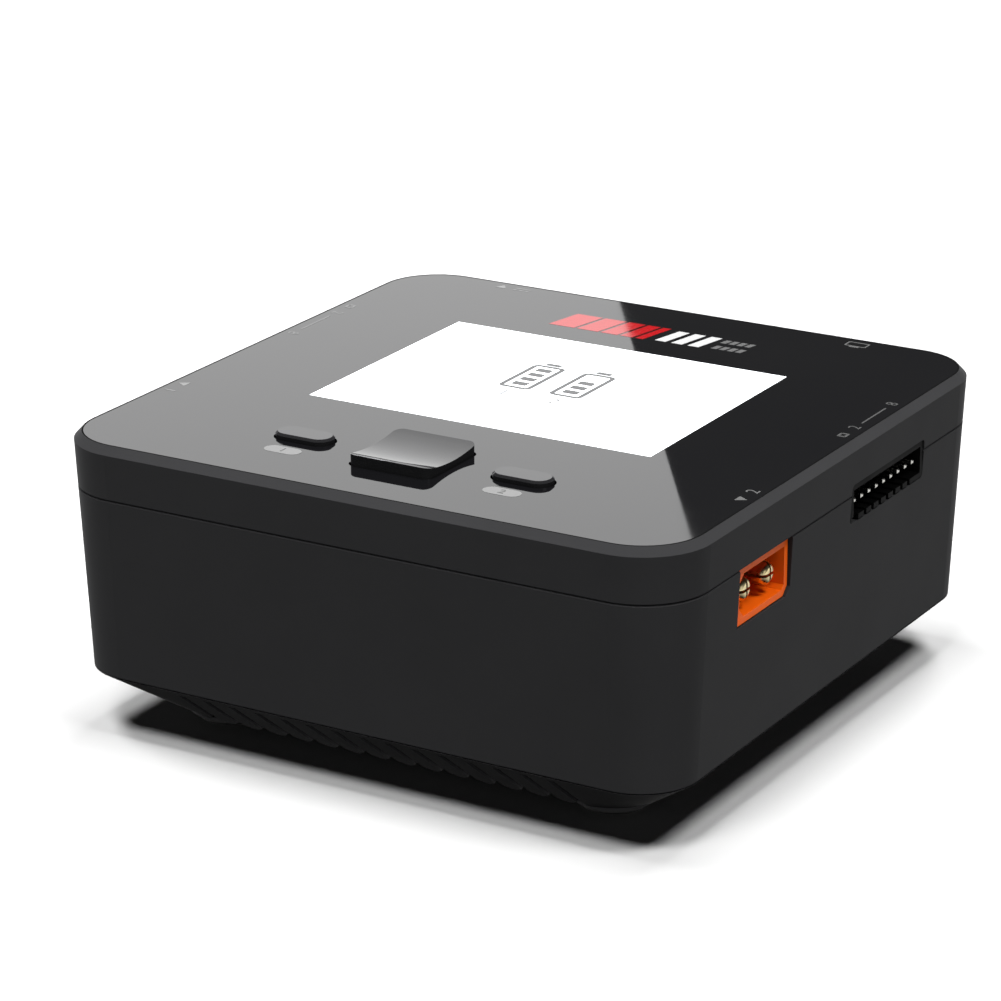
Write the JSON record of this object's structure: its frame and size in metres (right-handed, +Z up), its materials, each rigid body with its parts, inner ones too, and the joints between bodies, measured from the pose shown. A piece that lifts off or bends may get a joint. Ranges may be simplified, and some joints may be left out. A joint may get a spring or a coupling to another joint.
{
  "type": "balance battery charger",
  "caption": "Low square two-channel balance charger with a glass front, display, rocker and side keys, power and balance sockets, and a vented sloped base.",
  "frame": {"origin": "on the ground under the middle of the case", "axes": "+Z up, +X towards the channel 2 sockets, -Y towards the front with the keys, +Y towards the input socket"},
  "size_m": [0.104, 0.103, 0.0479],
  "materials": {
    "case_plastic": "fine satin moulded ABS",
    "base_plastic": "fine satin moulded ABS",
    "front_glass": "polished glass, black printed behind",
    "key_plastic": "satin gloss moulded ABS",
    "switch_plastic": "moulded nylon",
    "display_cell": "display cell",
    "tray_steel": "pressed sheet",
    "foam": "closed-cell foam",
    "flex_film": "polyimide film",
    "board_laminate": "solder mask",
    "component_black": "moulded epoxy",
    "connector_nylon": "moulded nylon",
    "socket_orange": "moulded nylon",
    "pin_gold": "gold plated",
    "header_black": "moulded nylon",
    "pin_tin": "tin plated",
    "sink_aluminium": "extruded and milled",
    "standoff_brass": "turned",
    "pad_silicone": "soft silicone",
    "capacitor_can": "sleeved can",
    "screw_steel": "zinc plated",
    "foot_rubber": "moulded rubber",
    "fan_plastic": "moulded PBT",
    "bearing_bronze": "sintered",
    "stator_copper": "wound copper",
    "magnet": "bonded ferrite",
    "shaft_steel": "ground",
    "lead_sleeve": "insulated wire"
  },
  "bodies": {
    "case": {"top_cover": "case_plastic", "lower_case": "case_plastic", "base_pan": "base_plastic", "glass_panel": "front_glass", "tact_switches": "switch_plastic", "lcd_panel": "display_cell", "lcd_tray": "tray_steel", "usb_shell": "tray_steel", "lcd_foam_pad": "foam", "lcd_flex": "flex_film", "main_board": "board_laminate", "mosfets": "component_black", "controller_chip": "component_black", "buzzer": "component_black", "board_parts": "component_black", "inductors": "component_black", "lcd_connector": "connector_nylon", "fan_plug": "connector_nylon", "ch1_power_socket": "socket_orange", "ch2_power_socket": "socket_orange", "dc_input_socket": "socket_orange", "ch1_power_pins": "pin_gold", "ch2_power_pins": "pin_gold", "dc_input_pins": "pin_gold", "ch1_balance_socket": "header_black", "ch2_balance_socket": "header_black", "usb_tongue": "header_black", "ch1_balance_pins": "pin_tin", "ch2_balance_pins": "pin_tin", "heat_sink": "sink_aluminium", "sink_standoffs": "standoff_brass", "thermal_pads": "pad_silicone", "capacitors": "capacitor_can", "case_screws": "screw_steel", "board_screws": "screw_steel", "sink_screws": "screw_steel", "fan_screws": "screw_steel", "feet": "foot_rubber", "fan_frame": "fan_plastic", "fan_bearing": "bearing_bronze", "fan_stator": "stator_copper", "fan_lead": "lead_sleeve"},
    "ch1_button": {"ch1_button": "key_plastic", "ch1_plunger": "switch_plastic"},
    "ch2_button": {"ch2_button": "key_plastic", "ch2_plunger": "switch_plastic"},
    "rocker_carrier": {"rocker_carrier": "switch_plastic", "press_plunger": "switch_plastic"},
    "rocker": {"rocker_key": "key_plastic", "rocker_plungers": "switch_plastic", "rocker_pivot": "shaft_steel"},
    "fan_rotor": {"fan_rotor": "fan_plastic", "fan_magnet": "magnet", "fan_shaft": "shaft_steel"}
  },
  "joints": [
    {"name": "ch1_press", "type": "slide", "parent": "case", "child": "ch1_button", "axis": [0, 0, -1], "range_m": [0, 0.00025], "stiffness_N_per_m": 3000, "springref_m": -0.0001},
    {"name": "ch2_press", "type": "slide", "parent": "case", "child": "ch2_button", "axis": [0, 0, -1], "range_m": [0, 0.00025], "stiffness_N_per_m": 3000, "springref_m": -0.0001},
    {"name": "rocker_press", "type": "slide", "parent": "case", "child": "rocker_carrier", "axis": [0, 0, -1], "range_m": [0, 0.00025], "stiffness_N_per_m": 3000, "springref_m": -0.0001},
    {"name": "rocker_tilt", "type": "hinge", "parent": "rocker_carrier", "child": "rocker", "pos_m": [0, -0.03355, 0.0447], "axis": [1, 0, 0], "range_deg": [-2, 2], "stiffness_Nm_per_rad": 0.18},
    {"name": "fan_spin", "type": "hinge", "parent": "case", "child": "fan_rotor", "pos_m": [0, 0, 0.008], "axis": [0, 0, 1], "continuous": true}
  ]
}
